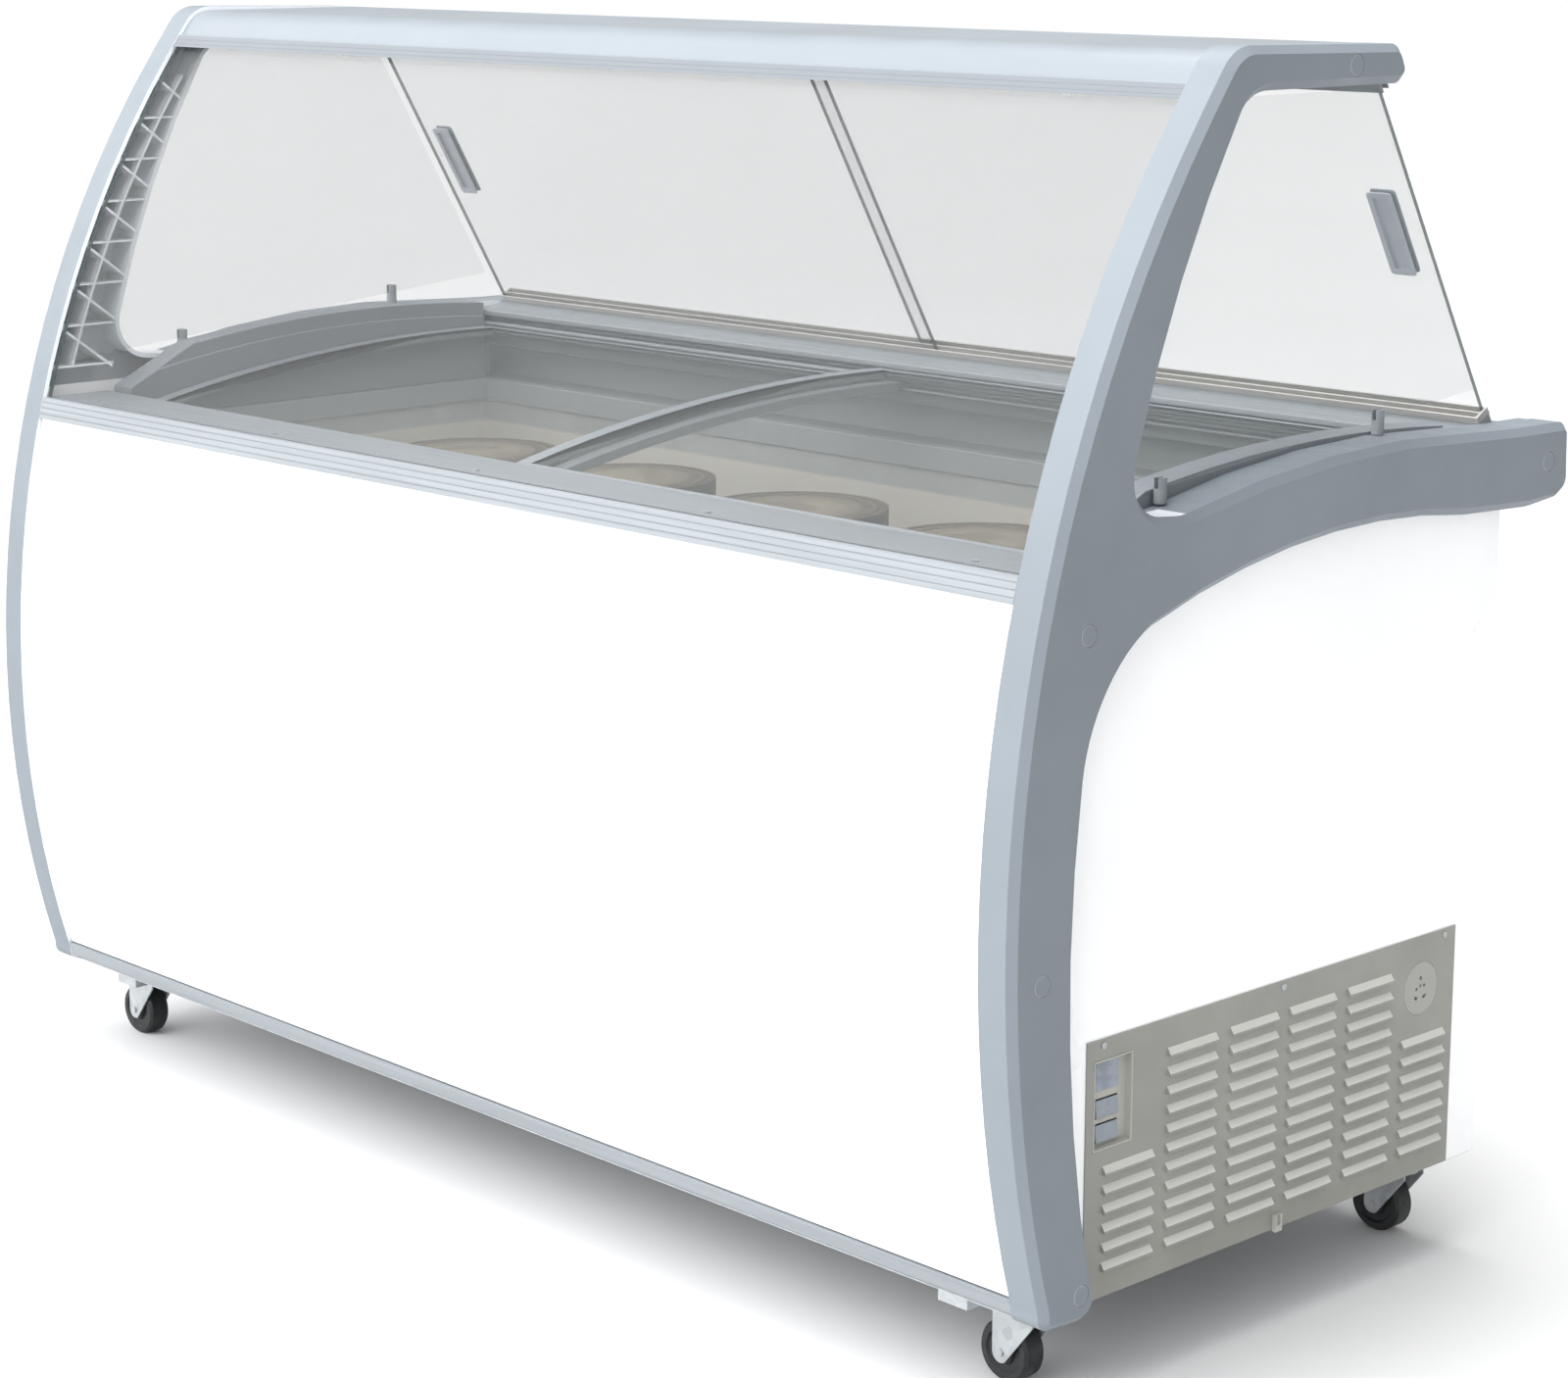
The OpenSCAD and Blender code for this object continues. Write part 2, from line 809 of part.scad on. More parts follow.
// Flush pull let into the pane: a rim on both faces and a thin web between two finger hollows
module door_pull(level, handle_mid) {
    y0 = level * door_pitch;
    mid = y0 + door_t / 2;
    proud = 2;
    color(c_steel)
        door_plane()
            translate([handle_mid, 0, handle_z])
                difference() {
                    union() {
                        for (side = [[y0 - proud, y0 - 0.1], [y0 + door_t + 0.1, y0 + door_t + proud]])
                            translate([0, side[1], 0])
                                rotate([90, 90, 0])
                                    linear_extrude(side[1] - side[0])
                                        polygon(rounded_box(handle_h, handle_w, 4));
                        translate([0, y0 + door_t + 1, 0])
                            rotate([90, 90, 0])
                                linear_extrude(door_t + 2)
                                    polygon(rounded_box(handle_h - 8.6, handle_w - 8.6, 3));
                    }
                    for (side = [[y0 - 5, mid - 0.8], [mid + 0.8, y0 + door_t + 5]])
                        translate([0, side[1], 0])
                            rotate([90, 90, 0])
                                linear_extrude(side[1] - side[0])
                                    polygon(rounded_box(handle_h - 14, handle_w - 14, 2));
                }
}

handle_x = door_reach - 41;

module door_glass_left() {
    door_pane(-door_reach + 0.5, door_lap, 0, -handle_x);
}

module door_glass_right() {
    door_pane(-door_lap, door_reach - 0.5, 1, handle_x);
}

module door_handle_left() {
    door_pull(0, -handle_x);
}

module door_handle_right() {
    door_pull(1, handle_x);
}

// ---------- Sliding lids ----------

lid_bar = 20;
lid_end = half_tank - 3;

// Aluminium edge profile: end bars let into the tracks, arched bars down both sides
module lid_frame(x0, x1, r) {
    x_in0 = x0 + lid_bar;
    x_in1 = x1 - lid_bar;
    bar_y = lid_reach - 22;
    color(c_rail)
        difference() {
            union() {
                along_x(x0, x1)
                    lid_band(r - lid_t, r, -lid_reach, lid_reach);
                for (x = [x0, x1 - lid_bar])
                    along_x(x, x + lid_bar)
                        lid_band(r - lid_t - 5, r, -track_mouth + 5, track_mouth - 8);
            }
            along_x(x_in0, x_in1)
                lid_band(r - 30, r + 5, -bar_y, bar_y);
            along_x(x_in0 - 6, x_in1 + 6)
                lid_band(r - 5, r - 1, -bar_y - 6, bar_y + 6);
        }
}

module lid_pane(x0, x1, r) {
    edge = 0.2;
    reach = lid_reach - 16 - edge;
    color(c_glass)
        along_x(x0 + lid_bar - 6 + edge, x1 - lid_bar + 6 - edge)
            lid_band(r - 4.8, r - 1.2, -reach, reach);
}

module lid_frame_left() {
    lid_frame(-lid_end, lid_overlap / 2, lid_low_r);
}

module lid_frame_right() {
    lid_frame(-lid_overlap / 2, lid_end, lid_r);
}

module lid_glass_left() {
    lid_pane(-lid_end, lid_overlap / 2, lid_low_r);
}

module lid_glass_right() {
    lid_pane(-lid_overlap / 2, lid_end, lid_r);
}

// ---------- Grille and controls ----------

// Columns of louvres as [start of the column, rows from the bottom]
LOUVRES = [[-265, 6], [-172, 11], [-77, 11], [16, 11], [111, 11], [205, 7]];
louvre_z = 134;
hood_h = 9;
hood_out = 4.5;
bezel_y = [-280, -223];
bezel_z = [258, 350];
socket_spot = [236, 313];
socket_r = 29;
grille_t = 1.2;

module hood_section(inset) {
    polygon([
        [-1, hood_h - inset],
        [0, hood_h - inset],
        [hood_out - inset, 2.5],
        [hood_out - inset, inset > 0 ? -1 : 0],
        [-1, inset > 0 ? -1 : 0]
    ]);
}

// One pressed louvre: a hood that leans out to its open lower edge, closed at both ends
module louvre_hood() {
    rotate([90, 0, 0])
        translate([0, 0, -louvre_len])
            linear_extrude(louvre_len)
                hood_section(0);
}

module louvre_cut() {
    rotate([90, 0, 0])
        translate([0, 0, 1.2 - louvre_len])
            linear_extrude(louvre_len - 2.4)
                translate([-2, 0])
                    hood_section(1.1);
    rotate([90, 0, 0])
        translate([0, 0, 1.2 - louvre_len])
            linear_extrude(louvre_len - 2.4)
                hood_section(1.1);
}

module at_louvres() {
    for (col = LOUVRES)
        for (row = [0:col[1] - 1])
            translate([grille_x + grille_t, col[0], louvre_z + row * louvre_pitch])
                children();
}

module grille() {
    color(c_grille)
        difference() {
            union() {
                box([grille_x, grille_y[0], grille_z[0]], [grille_x + grille_t, grille_y[1], grille_z[1]]);
                at_louvres()
                    louvre_hood();
            }
            at_louvres()
                louvre_cut();
            box([grille_x - 1, bezel_y[0], bezel_z[0]], [grille_x + 9, bezel_y[1], bezel_z[1]]);
            translate([grille_x - 1, socket_spot[0], socket_spot[1]])
                rotate([0, 90, 0])
                    cylinder(h = 4, r = socket_r, $fn = round_fn);
            for (p = GRILLE_SCREWS)
                translate([grille_x - 1, p[0], p[1]])
                    rotate([0, 90, 0])
                        cylinder(h = 4, r = 2, $fn = 24);
        }
}

GRILLE_SCREWS = [[-267, 364], [5, 364], [274, 364]];
RAIL_SCREW_X = [-740, -370, 0, 370, 740];

module cover_screws() {
    color(c_steel) {
        for (p = GRILLE_SCREWS)
            translate([grille_x + grille_t, p[0], p[1]])
                rotate([0, 90, 0]) {
                    cylinder(h = 1.5, r = 3.4, $fn = 24);
                    translate([0, 0, -2.4])
                        cylinder(h = 2.5, r = 1.7, $fn = 24);
                }
        for (x = RAIL_SCREW_X)
            translate([x, -350, rail_top_z])
                cylinder(h = 1.4, r = 3.6, $fn = 24);
    }
}

// Windows in the bezel as [height of the lower edge, height]
display_win = [316, 31];
switch_wins = [[288, 20], [263, 20]];
win_y = [-270, -237];
bezel_depth = 7;

module control_bezel() {
    y0 = bezel_y[0] + 0.3;
    y1 = bezel_y[1] - 0.3;
    z0 = bezel_z[0] + 0.3;
    z1 = bezel_z[1] - 0.3;
    x0 = grille_x + grille_t - bezel_depth;
    color(c_liner)
        difference() {
            box([x0 - 2, y0, z0], [grille_x + grille_t + 0.5, y1, z1]);
            box([x0, y0 + 2, z0 + 2], [grille_x + grille_t + 2, y1 - 2, z1 - 2]);
            for (w = concat([display_win], switch_wins))
                box([x0 - 4, win_y[0], w[0]], [x0 + 2, win_y[1], w[0] + w[1]]);
        }
}

module display_window() {
    x0 = grille_x + grille_t - bezel_depth;
    color(c_black)
        box([x0 - 4, win_y[0] + 0.2, display_win[0] + 0.2],
            [x0 + 0.8, win_y[1] - 0.2, display_win[0] + display_win[1] - 0.2]);
}

// Rocker that pivots on its middle line and stands in its bezel window
module rocker(win) {
    x0 = grille_x + grille_t - bezel_depth;
    mid_z = win[0] + win[1] / 2;
    half_w = (win_y[1] - win_y[0]) / 2 - 0.5;
    translate([x0 - 1, (win_y[0] + win_y[1]) / 2, mid_z])
        rotate([90, 0, 0])
            union() {
                translate([0, 0, -half_w])
                    linear_extrude(2 * half_w)
                        polygon([[-1.4, -7.4], [-1.4, 7.4], [1.6, 8.7], [2.2, 0], [3.4, -8.7]]);
                // Pivot barrel
                translate([0, 0, 1 - half_w])
                    cylinder(h = 2 * half_w - 2, r = 2, $fn = 48);
            }
}

module power_switch() {
    color(c_dark)
        rocker(switch_wins[0]);
}

module light_switch() {
    color(c_dark)
        rocker(switch_wins[1]);
}

// Outlet with a generic multi-pattern of pin holes
module power_socket() {
    color(c_grille)
        translate([grille_x - 14, socket_spot[0], socket_spot[1]])
            rotate([90, 0, 90])
                linear_extrude(14 + grille_t)
                    difference() {
                        circle(socket_r - 0.4, $fn = round_fn);
                        for (p = [[0, 11, 2.4], [0, 2.5, 1.8], [-6.5, 0, 2], [6.5, 2, 2]])
                            translate([p[0], p[1]])
                                circle(p[2], $fn = 24);
                        for (s = [-1, 1])
                            translate([s * 7, -10])
                                rotate(s * 20)
                                    square([6, 3.4], center = true);
                    }
}

module grille_catch() {
    color(c_liner)
        translate([grille_x + grille_t, 4, 114])
            difference() {
                box([0, -5, -9], [5, 5, 9]);
                box([1.6, -3, -2], [6, 3, 10]);
            }
}

// ---------- Machine compartment ----------

module compressor() {
    color(c_black)
        translate([612, 130, base_z + 2]) {
            rotate_extrude($fn = 64)
                difference() {
                    union() {
                        translate([0, 30])
                            square([82, 90]);
                        translate([0, 120])
                            square([74, 22]);
                        translate([0, 12])
                            square([74, 18]);
                    }
                    translate([-1, -1])
                        square([1, 400]);
                }
            for (x = [-80, 80])
                for (y = [-55, 55])
                    translate([x, y, 0])
                        cylinder(h = 14, r = 11, $fn = 32);
            box([-96, -70, 13], [96, 70, 17]);
        }
}

module condenser() {
    y0 = -240;
    y1 = 20;
    color(c_steel)
        union() {
            for (y = [y0:13:y1])
                box([770, y, 118], [806, y + 1.2, 368]);
            // End plates that stand on the base pan
            for (y = [y0 - 2, y1])
                box([770, y, base_z + 2], [806, y + 3.2, 370]);
            for (z = [136:36:352])
                for (x = [779, 797])
                    translate([x, y0 - 8, z])
                        rotate([-90, 0, 0])
                            cylinder(h = y1 - y0 + 17, r = 4, $fn = 24);
        }
}

fan_axis = [-110, 243];

module fan_shroud() {
    color(c_dark)
        difference() {
            union() {
                box([762, -244, 112], [765, 26, 372]);
                translate([748, fan_axis[0], fan_axis[1]])
                    rotate([0, 90, 0])
                        cylinder(h = 15, r = 114, $fn = 96);
                box([700, -244, base_z + 2], [765, 26, base_z + 5]);
                box([762, -244, base_z + 2], [765, 26, 115]);
            }
            translate([740, fan_axis[0], fan_axis[1]])
                rotate([0, 90, 0])
                    cylinder(h = 30, r = 110, $fn = 96);
        }
}

module fan_motor() {
    color(c_steel)
        union() {
            translate([690, fan_axis[0], fan_axis[1]])
                rotate([0, 90, 0]) {
                    cylinder(h = 42, r = 36, $fn = round_fn);
                    cylinder(h = 66, r = 4, $fn = 24);
                }
            box([695, fan_axis[0] - 22, base_z + 5.2], [699, fan_axis[0] + 22, fan_axis[1]]);
            box([695, fan_axis[0] - 22, base_z + 5.2], [730, fan_axis[0] + 22, base_z + 9]);
        }
}

module fan_blade() {
    color(c_black)
        translate([738, fan_axis[0], fan_axis[1]])
            rotate([0, 90, 0])
                difference() {
                    union() {
                        cylinder(h = 20, r = 24, $fn = round_fn);
                        for (a = [0:72:288])
                            rotate([0, 0, a])
                                translate([18, 0, 10])
                                    rotate([28, 0, 0])
                                        translate([0, -22, -1])
                                            linear_extrude(2)
                                                polygon([[0, 8], [0, 34], [80, 44], [84, 22], [80, 0]]);
                    }
                    translate([0, 0, -1])
                        cylinder(h = 30, r = 4.08, $fn = 24);
                }
}

// Suction and discharge lines with the filter drier, run as straight tubes with elbows
module pipe_run(points, r) {
    for (i = [0:len(points) - 2]) {
        a = points[i];
        b = points[i + 1];
        d = b - a;
        translate(a)
            rotate([0, acos(d[2] / norm(d)), atan2(d[1], d[0])])
                cylinder(h = norm(d), r = r, $fn = 24);
    }
    for (i = [1:len(points) - 2])
        translate(points[i])
            sphere(r, $fn = 24);
}

module refrigerant_tubing() {
    color(c_copper) {
        pipe_run([[640, 180, 249.1], [640, 180, 352], [779, 180, 352], [779, 29.4, 352]], 4);
        pipe_run([[580, 90, 249.1], [580, 90, 340], [580, -160, 340], [580, -160, 412.5]], 5);
        translate([690, 180, 352])
            rotate([0, 90, 0])
                cylinder(h = 60, r = 12, $fn = 32);
    }
}

// Gland in the rear wall for the mains lead
module cord_gland() {
    color(c_black)
        translate(gland_spot)
            rotate([-90, 0, 0])
                difference() {
                    union() {
                        translate([0, 0, 0.2])
                            cylinder(h = 5, r = 15, $fn = 6);
                        translate([0, 0, -14])
                            cylinder(h = 20, r = 8.6, $fn = round_fn);
                        translate([0, 0, 5])
                            cylinder(h = 12, r1 = 10.5, r2 = 7.5, $fn = round_fn);
                    }
                    translate([0, 0, -20])
                        cylinder(h = 50, r = 4, $fn = round_fn);
                }
}

// ---------- Tubs ----------

shelf_z = 552.3;

module tub_shelf() {
    wire = 3;
    y0 = tank_front_y + 4;
    y1 = tank_back_y - 4;
    color(c_white)
        union() {
            for (y = [y0, -90, 80, y1 - 2 * wire])
                box([-590, y, shelf_z], [half_tank - 4, y + 2 * wire, shelf_z + 6]);
            for (x = [-590:34:760])
                box([x, y0, shelf_z + 6], [x + wire, y1, shelf_z + 6 + wire]);
        }
}

tub_floor_z = shelf_z + 9.3;
lid_skin = 2.8;

module tubs() {
    color([0.86, 0.84, 0.80])
        for (x = TUB_X)
            translate([x, tub_y, tub_floor_z])
                cylinder(h = tub_top_z - lid_skin - tub_floor_z, r1 = 88, r2 = 98, $fn = 96);
}

module tub_lids() {
    rim_h = 20;
    color(c_tub)
        for (x = TUB_X)
            translate([x, tub_y, tub_top_z - rim_h])
                difference() {
                    cylinder(h = rim_h, r = tub_lid_d / 2, $fn = 96);
                    translate([0, 0, -1])
                        cylinder(h = rim_h - lid_skin + 1, r = tub_lid_d / 2 - 2.5, $fn = 96);
                    translate([0, 0, rim_h - 1])
                        difference() {
                            cylinder(h = 3, r = tub_lid_d / 2 - 8, $fn = 96);
                            translate([0, 0, -1])
                                cylinder(h = 5, r = tub_lid_d / 2 - 11, $fn = 96);
                        }
                }
}

// ---------- Casters ----------

module caster_plates() {
    color(c_steel)
        for (c = CASTERS)
            translate([c[0], c[1], 0]) {
                box([-30, -26, runner_z - 3.1], [30, 26, runner_z - 0.1]);
                translate([0, 0, runner_z - 7])
                    cylinder(h = 4, r = 20, $fn = round_fn);
                translate([0, 0, runner_z - 19])
                    cylinder(h = 13, r = 4, $fn = 32);
                translate([0, 0, runner_z - 20.5])
                    cylinder(h = 3, r = 7, $fn = 32);
            }
}

// Pressed fork: crown under the swivel race, two tapering cheeks and the riveted axle.
// dir is the way the wheel trails along X.
module caster_fork(spot) {
    cheek_y = wheel_w / 2 + 1.2;
    color(c_frame)
        translate([spot[0], spot[1], 0])
            mirror([spot[2] < 0 ? 1 : 0, 0, 0])
                difference() {
                    union() {
                        translate([0, 0, runner_z - 11.5])
                            cylinder(h = 4, r = 21, $fn = round_fn);
                        translate([0, 0, runner_z - 16.5])
                            intersection() {
                                cylinder(h = 5.2, r = 21, $fn = round_fn);
                                box([-30, -cheek_y - 2, 0], [30, cheek_y + 2, 6]);
                            }
                        for (s = [-1, 1])
                            translate([0, s > 0 ? cheek_y + 2 : -cheek_y, 0])
                                rotate([90, 0, 0])
                                    linear_extrude(2)
                                        fork_cheek();
                        translate([caster_trail, cheek_y + 4, wheel_r])
                            rotate([90, 0, 0])
                                cylinder(h = 2 * cheek_y + 8, r = 4, $fn = 32);
                    }
                    translate([0, 0, runner_z - 22])
                        cylinder(h = 20, r = 4.08, $fn = 32);
                    translate([0, 0, runner_z - 30])
                        cylinder(h = 13.8, r = 7.5, $fn = 32);
                }
}

module fork_cheek() {
    polygon(concat(
        [[-20, runner_z - 12], [caster_trail + 11, runner_z - 12]],
        [for (a = [0:-15:-120]) [caster_trail + 11 * cos(a), wheel_r + 11 * sin(a)]],
        [[-20, runner_z - 21]]
    ));
}

module caster_wheel(spot) {
    color(c_black)
        translate([spot[0] + spot[2] * caster_trail, spot[1], wheel_r])
            rotate([90, 0, 0])
                rotate_extrude($fn = 96)
                    polygon([
                        [4.08, -wheel_w / 2],
                        [13, -wheel_w / 2],
                        [14, -wheel_w / 2 + 3],
                        [21, -wheel_w / 2 + 3],
                        [23, -wheel_w / 2 + 0.5],
                        [wheel_r - 3, -wheel_w / 2 + 0.5],
                        [wheel_r, -wheel_w / 2 + 4],
                        [wheel_r, wheel_w / 2 - 4],
                        [wheel_r - 3, wheel_w / 2 - 0.5],
                        [23, wheel_w / 2 - 0.5],
                        [21, wheel_w / 2 - 3],
                        [14, wheel_w / 2 - 3],
                        [13, wheel_w / 2],
                        [4.08, wheel_w / 2]
                    ]);
}

module caster_fork_fl() { caster_fork(CASTERS[0]); }
module caster_fork_fr() { caster_fork(CASTERS[1]); }
module caster_fork_rl() { caster_fork(CASTERS[2]); }
module caster_fork_rr() { caster_fork(CASTERS[3]); }
module caster_wheel_fl() { caster_wheel(CASTERS[0]); }
module caster_wheel_fr() { caster_wheel(CASTERS[1]); }
module caster_wheel_rl() { caster_wheel(CASTERS[2]); }
module caster_wheel_rr() { caster_wheel(CASTERS[3]); }

outer_casing();
front_panel();
base_pan();
base_runners();
bottom_trim();
inner_tank();
tank_collar();
foam_insulation();
evaporator_coil();
drain_plug();
front_rail();
side_rims();
rear_counter();
left_side_frame();
right_side_frame();
frame_caps();
canopy_fascia();
canopy_top();
canopy_underside();
canopy_light();
front_glass();
side_glass();
glass_clips();
upper_door_track();
lower_door_track();
door_glass_left();
door_glass_right();
door_handle_left();
door_handle_right();
lid_frame_left();
lid_frame_right();
lid_glass_left();
lid_glass_right();
grille();
cover_screws();
control_bezel();
display_window();
power_switch();
light_switch();
power_socket();
grille_catch();
compressor();
condenser();
fan_motor();
fan_shroud();
fan_blade();
refrigerant_tubing();
cord_gland();
tub_shelf();
tubs();
tub_lids();
caster_plates();
caster_fork_fl();
caster_fork_fr();
caster_fork_rl();
caster_fork_rr();
caster_wheel_fl();
caster_wheel_fr();
caster_wheel_rl();
caster_wheel_rr();
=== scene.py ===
"""Looks of the ice cream dipping cabinet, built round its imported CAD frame.

Each CAD node gets a procedural material. The panes and the larger visible nodes are replaced by
refined copies: the CAD mesh with its flats merged and its sharp edges rounded. Positions come
from the frame. Units are metres, unless a comment says millimetres.
"""

import json
import math

import bmesh
import bpy
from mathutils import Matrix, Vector
from mathutils.bvhtree import BVHTree


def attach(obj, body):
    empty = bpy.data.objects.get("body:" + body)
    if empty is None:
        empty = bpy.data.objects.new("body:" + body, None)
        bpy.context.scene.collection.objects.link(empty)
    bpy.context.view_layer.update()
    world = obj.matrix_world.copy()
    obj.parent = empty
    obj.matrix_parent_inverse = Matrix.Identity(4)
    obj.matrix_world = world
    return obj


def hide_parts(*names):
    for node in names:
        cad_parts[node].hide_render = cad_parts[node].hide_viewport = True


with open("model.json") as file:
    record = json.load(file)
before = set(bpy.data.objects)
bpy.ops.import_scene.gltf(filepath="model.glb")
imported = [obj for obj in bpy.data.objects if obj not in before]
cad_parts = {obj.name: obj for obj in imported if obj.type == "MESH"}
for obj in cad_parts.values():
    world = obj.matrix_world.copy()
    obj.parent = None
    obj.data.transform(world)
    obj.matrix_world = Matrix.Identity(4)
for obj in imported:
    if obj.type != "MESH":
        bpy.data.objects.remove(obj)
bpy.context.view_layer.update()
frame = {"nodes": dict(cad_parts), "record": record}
NODES = frame["nodes"]
SLOT_OF = {n: o.data.materials[0].name for n, o in NODES.items()}
for packed in list(bpy.data.materials):
    packed.name = "packed_" + packed.name
BODY_OF = {n: b for b, names in frame["record"]["behaviour"]["bodies"].items() for n in names}
MM = 0.001


# ---------- camera ----------

CAMERA_PLACE = (2.978, -2.717, 1.433)
CAMERA_TURN = math.radians(46.52)
CAMERA_DIP = math.radians(12.54)
CAMERA_LENS = 81.65
SENSOR_WIDTH = 36
SIGHT_LIMIT = 400

camera_data = bpy.data.cameras.new("camera")
camera_data.lens = CAMERA_LENS
camera_data.sensor_width = SENSOR_WIDTH
camera_data.clip_end = SIGHT_LIMIT
camera = bpy.data.objects.new("camera", camera_data)
bpy.context.scene.collection.objects.link(camera)
camera.location = CAMERA_PLACE
camera.rotation_euler = (math.pi / 2 - CAMERA_DIP, 0, CAMERA_TURN)
bpy.context.scene.camera = camera


# ---------- material helpers ----------


class Shader:
    """A small wrapper round one material's node tree."""

    def __init__(self, name, colour, rough, metal=0.0, **sockets):
        self.mat = bpy.data.materials.new(name)
        self.mat.use_nodes = True
        self.tree = self.mat.node_tree
        self.bsdf = self.tree.nodes["Principled BSDF"]
        self.colour = colour
        self.bsdf.inputs["Base Color"].default_value = (*colour, 1)
        self.bsdf.inputs["Roughness"].default_value = rough
        self.bsdf.inputs["Metallic"].default_value = metal
        for key, value in sockets.items():
            self.bsdf.inputs[key.replace("_", " ")].default_value = value
        self.place = self.node("ShaderNodeTexCoord").outputs["Object"]
        self.height = None

    def node(self, kind, **settings):
        made = self.tree.nodes.new(kind)
        for key, value in settings.items():
            setattr(made, key, value)
        return made

    def wire(self, source, target):
        self.tree.links.new(source, target)

    def stretched(self, scale):
        mapping = self.node("ShaderNodeMapping")
        mapping.inputs["Scale"].default_value = scale
        self.wire(self.place, mapping.inputs["Vector"])
        return mapping.outputs["Vector"]

    def noise(self, scale, detail=3.0, rough=0.55, stretch=None):
        made = self.node("ShaderNodeTexNoise")
        made.inputs["Scale"].default_value = scale
        made.inputs["Detail"].default_value = detail
        made.inputs["Roughness"].default_value = rough
        self.wire(self.stretched(stretch) if stretch else self.place, made.inputs["Vector"])
        return made.outputs["Fac"]

    def cells(self, scale, feature="F1", out="Distance"):
        made = self.node("ShaderNodeTexVoronoi", feature=feature)
        made.inputs["Scale"].default_value = scale
        self.wire(self.place, made.inputs["Vector"])
        return made.outputs[out]

    def axis(self, name):
        split = self.node("ShaderNodeSeparateXYZ")
        self.wire(self.place, split.inputs[0])
        return split.outputs[name]

    def facing(self, name):
        """How far the surface faces along one of the object's axes."""
        split = self.node("ShaderNodeSeparateXYZ")
        self.wire(self.node("ShaderNodeTexCoord").outputs["Normal"], split.inputs[0])
        return split.outputs[name]

    def maths(self, operation, a, b=0.0):
        made = self.node("ShaderNodeMath", operation=operation)
        for socket, value in zip(made.inputs, (a, b)):
            if isinstance(value, (int, float)):
                socket.default_value = value
            else:
                self.wire(value, socket)
        return made.outputs[0]

    def spread(self, value, low, high, to_low=0.0, to_high=1.0):
        made = self.node("ShaderNodeMapRange", interpolation_type="SMOOTHSTEP")
        for socket, number in zip(list(made.inputs)[1:5], (low, high, to_low, to_high)):
            socket.default_value = number
        self.wire(value, made.inputs[0])
        return made.outputs[0]

    def mix(self, factor, a, b):
        made = self.node("ShaderNodeMix", data_type="RGBA")
        for socket, value in zip((made.inputs[0], made.inputs[6], made.inputs[7]), (factor, a, b)):
            if isinstance(value, tuple):
                socket.default_value = (*value, 1)
            elif isinstance(value, (int, float)):
                socket.default_value = value
            else:
                self.wire(value, socket)
        return made.outputs[2]

    def paint(self, value):
        self.wire(value, self.bsdf.inputs["Base Color"])
        return self

    def tone(self, amount=0.06, scale=4.0, detail=4.0, stretch=None):
        """The base colour drifts a little lighter and darker."""
        dark = tuple(c * (1 - amount) for c in self.colour)
        light = tuple(min(1.0, c * (1 + amount)) for c in self.colour)
        drift = self.spread(self.noise(scale, detail, stretch=stretch), 0.3, 0.7)
        return self.mix(drift, dark, light)

    def sheen_drift(self, low, high, scale=8.0, stretch=None):
        value = self.spread(self.noise(scale, 4.0, 0.6, stretch), 0.3, 0.72, low, high)
        self.wire(value, self.bsdf.inputs["Roughness"])
        return self

    def bump(self, value, depth):
        """Adds one layer of relief, depth metres high, over any layer before it."""
        made = self.node("ShaderNodeBump")
        made.inputs["Strength"].default_value = 1.0
        made.inputs["Distance"].default_value = depth
        self.wire(value, made.inputs["Height"])
        if self.height:
            self.wire(self.height, made.inputs["Normal"])
        self.height = made.outputs["Normal"]
        self.wire(self.height, self.bsdf.inputs["Normal"])
        return self


def painted(name, colour, rough=0.34, grain=420, depth=0.00004, coat=0.25, tone=0.03):
    """Sprayed or coil-coated sheet: orange peel, faint handling marks and a drift in gloss."""
    s = Shader(name, colour, rough, Coat_Weight=coat, Coat_Roughness=0.18)
    soft = s.tone(tone, 2.6)
    smudge = s.spread(s.noise(11, 6, 0.7), 0.5, 0.95)
    s.paint(s.mix(smudge, soft, tuple(c * (1 - tone * 0.9) for c in colour)))
    s.sheen_drift(rough - 0.07, rough + 0.1, 7)
    return s.bump(s.noise(grain, 2, 0.5), depth).mat


def canopy_paint(lip_z=1.266):
    """Satin paint on the canopy; below its rolled lower lip it is painted a shade darker, as
    painted shade.
    """
    base = (0.180, 0.203, 0.223)
    s = Shader("canopy_metal", base, 0.38, Coat_Weight=0.15, Coat_Roughness=0.2)
    # painted shade: below lip_z the canopy is painted 0.7 times as dark, standing in for the shade
    # of the lip
    lip = s.spread(s.axis("Z"), lip_z, lip_z - 0.0012)
    s.paint(s.mix(lip, s.tone(0.03, 2.6), tuple(c * 0.7 for c in base)))
    s.sheen_drift(0.3, 0.48, 7)
    return s.bump(s.noise(380, 2, 0.5), 0.00004).mat


def moulded(name, colour, rough=0.45, cell=1500, depth=0.00003, tone=0.05):
    """Injection moulded plastic: a fine spark-eroded grain, flow shading and scuffs."""
    s = Shader(name, colour, rough, Specular_IOR_Level=0.32)
    flow = s.tone(tone, 3.2, 5)
    scuff = s.spread(s.noise(34, 6, 0.72, (1, 1, 3.2)), 0.66, 0.82)
    s.paint(s.mix(scuff, flow, tuple(min(1.0, c * 1.1 + 0.012) for c in colour)))
    s.sheen_drift(rough - 0.08, rough + 0.09, 16)
    s.bump(s.cells(cell), depth)
    return s.bump(s.noise(90, 3), depth * 1.5).mat


def brushed(name, colour, rough=0.36, metal=0.65, along=(0.02, 1, 1), lines=1400):
    """Anodised or rolled metal with its drawing marks along one axis."""
    s = Shader(name, colour, rough, metal)
    s.paint(s.tone(0.07, 160, 4, along))
    s.sheen_drift(rough - 0.08, rough + 0.12, 220, along)
    s.bump(s.noise(lines, 2, 0.5, along), 0.00003)
    return s.bump(s.noise(14, 3), 0.0001).mat


